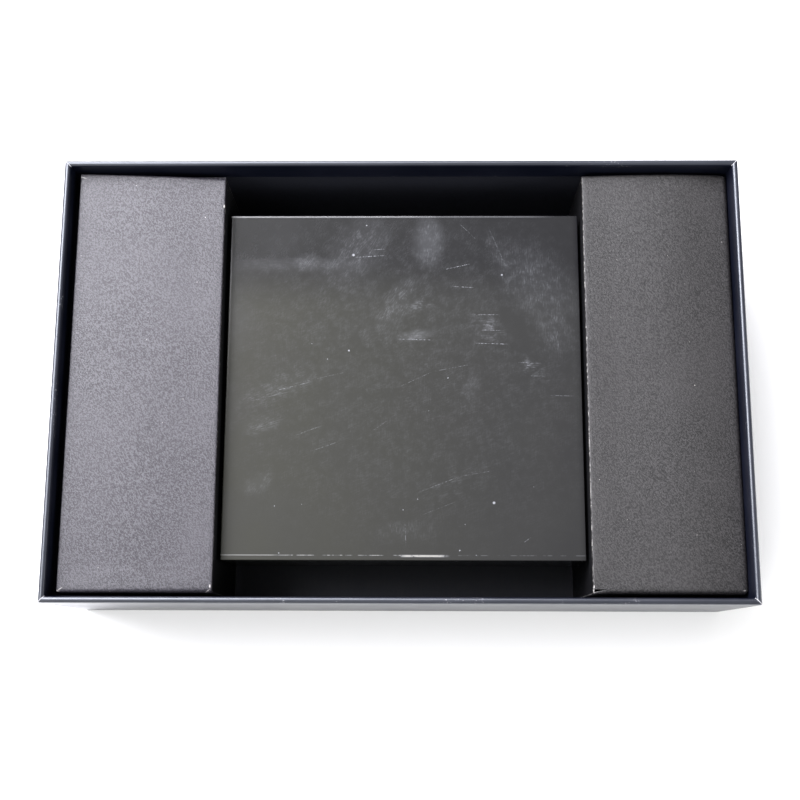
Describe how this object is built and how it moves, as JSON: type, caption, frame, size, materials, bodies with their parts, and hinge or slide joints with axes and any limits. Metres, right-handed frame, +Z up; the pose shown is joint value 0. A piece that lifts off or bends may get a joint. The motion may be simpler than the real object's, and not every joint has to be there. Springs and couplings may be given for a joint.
{
  "type": "archival box",
  "caption": "Open rigid paper-wrapped storage tray holding a lidded inner box between folded card end spacers.",
  "frame": {"origin": "middle of the tray's underside, on the surface that it stands on", "axes": "+X along the tray's length to the right spacer, +Y to the back, +Z up out of the tray's open top"},
  "size_m": [0.35, 0.228, 0.091],
  "materials": {
    "black_wrap": "satin",
    "inner_lid_wrap": "satin",
    "black_lining": "matte",
    "spacer_card": "matte",
    "greyboard": "matte",
    "stay_paper": "matte"
  },
  "bodies": {
    "tray": {"tray_back_board": "greyboard", "tray_back_left_corner_stay": "stay_paper", "tray_back_right_corner_stay": "stay_paper", "tray_base_board": "greyboard", "tray_floor_liner": "black_lining", "tray_front_board": "greyboard", "tray_front_left_corner_stay": "stay_paper", "tray_front_right_corner_stay": "stay_paper", "tray_left_board": "greyboard", "tray_right_board": "greyboard", "tray_underside_paper": "black_wrap", "tray_wall_liner": "black_lining", "tray_wrap": "black_wrap"},
    "left_spacer": {"left_spacer_back_end_flap": "spacer_card", "left_spacer_back_inner_dust_flap": "spacer_card", "left_spacer_back_outer_dust_flap": "spacer_card", "left_spacer_bottom_panel": "spacer_card", "left_spacer_front_end_flap": "spacer_card", "left_spacer_front_inner_dust_flap": "spacer_card", "left_spacer_front_outer_dust_flap": "spacer_card", "left_spacer_glue_flap": "spacer_card", "left_spacer_inner_wall": "spacer_card", "left_spacer_outer_wall": "spacer_card", "left_spacer_top_panel": "spacer_card"},
    "right_spacer": {"right_spacer_back_end_flap": "spacer_card", "right_spacer_back_inner_dust_flap": "spacer_card", "right_spacer_back_outer_dust_flap": "spacer_card", "right_spacer_bottom_panel": "spacer_card", "right_spacer_front_end_flap": "spacer_card", "right_spacer_front_inner_dust_flap": "spacer_card", "right_spacer_front_outer_dust_flap": "spacer_card", "right_spacer_glue_flap": "spacer_card", "right_spacer_inner_wall": "spacer_card", "right_spacer_outer_wall": "spacer_card", "right_spacer_top_panel": "spacer_card"},
    "inner_base": {"inner_base_back_board": "greyboard", "inner_base_base_board": "greyboard", "inner_base_floor_liner": "black_lining", "inner_base_front_board": "greyboard", "inner_base_left_board": "greyboard", "inner_base_right_board": "greyboard", "inner_base_underside_paper": "black_wrap", "inner_base_wall_liner": "black_lining", "inner_base_wrap": "black_wrap"},
    "inner_lid": {"inner_lid_back_board": "greyboard", "inner_lid_front_board": "greyboard", "inner_lid_left_board": "greyboard", "inner_lid_right_board": "greyboard", "inner_lid_top_board": "greyboard", "inner_lid_top_liner": "black_lining", "inner_lid_wall_liner": "black_lining", "inner_lid_wrap": "inner_lid_wrap"}
  },
  "joints": [
    {"name": "left_spacer_lift", "type": "slide", "parent": "tray", "child": "left_spacer", "axis": [0, 0, 1], "range_m": [0, 0.1]},
    {"name": "right_spacer_lift", "type": "slide", "parent": "tray", "child": "right_spacer", "axis": [0, 0, 1], "range_m": [0, 0.1]},
    {"name": "inner_box_lift", "type": "slide", "parent": "tray", "child": "inner_base", "axis": [0, 0, 1], "range_m": [0, 0.1]},
    {"name": "inner_lid_lift", "type": "slide", "parent": "inner_base", "child": "inner_lid", "axis": [0, 0, 1], "range_m": [0, 0.09]}
  ]
}
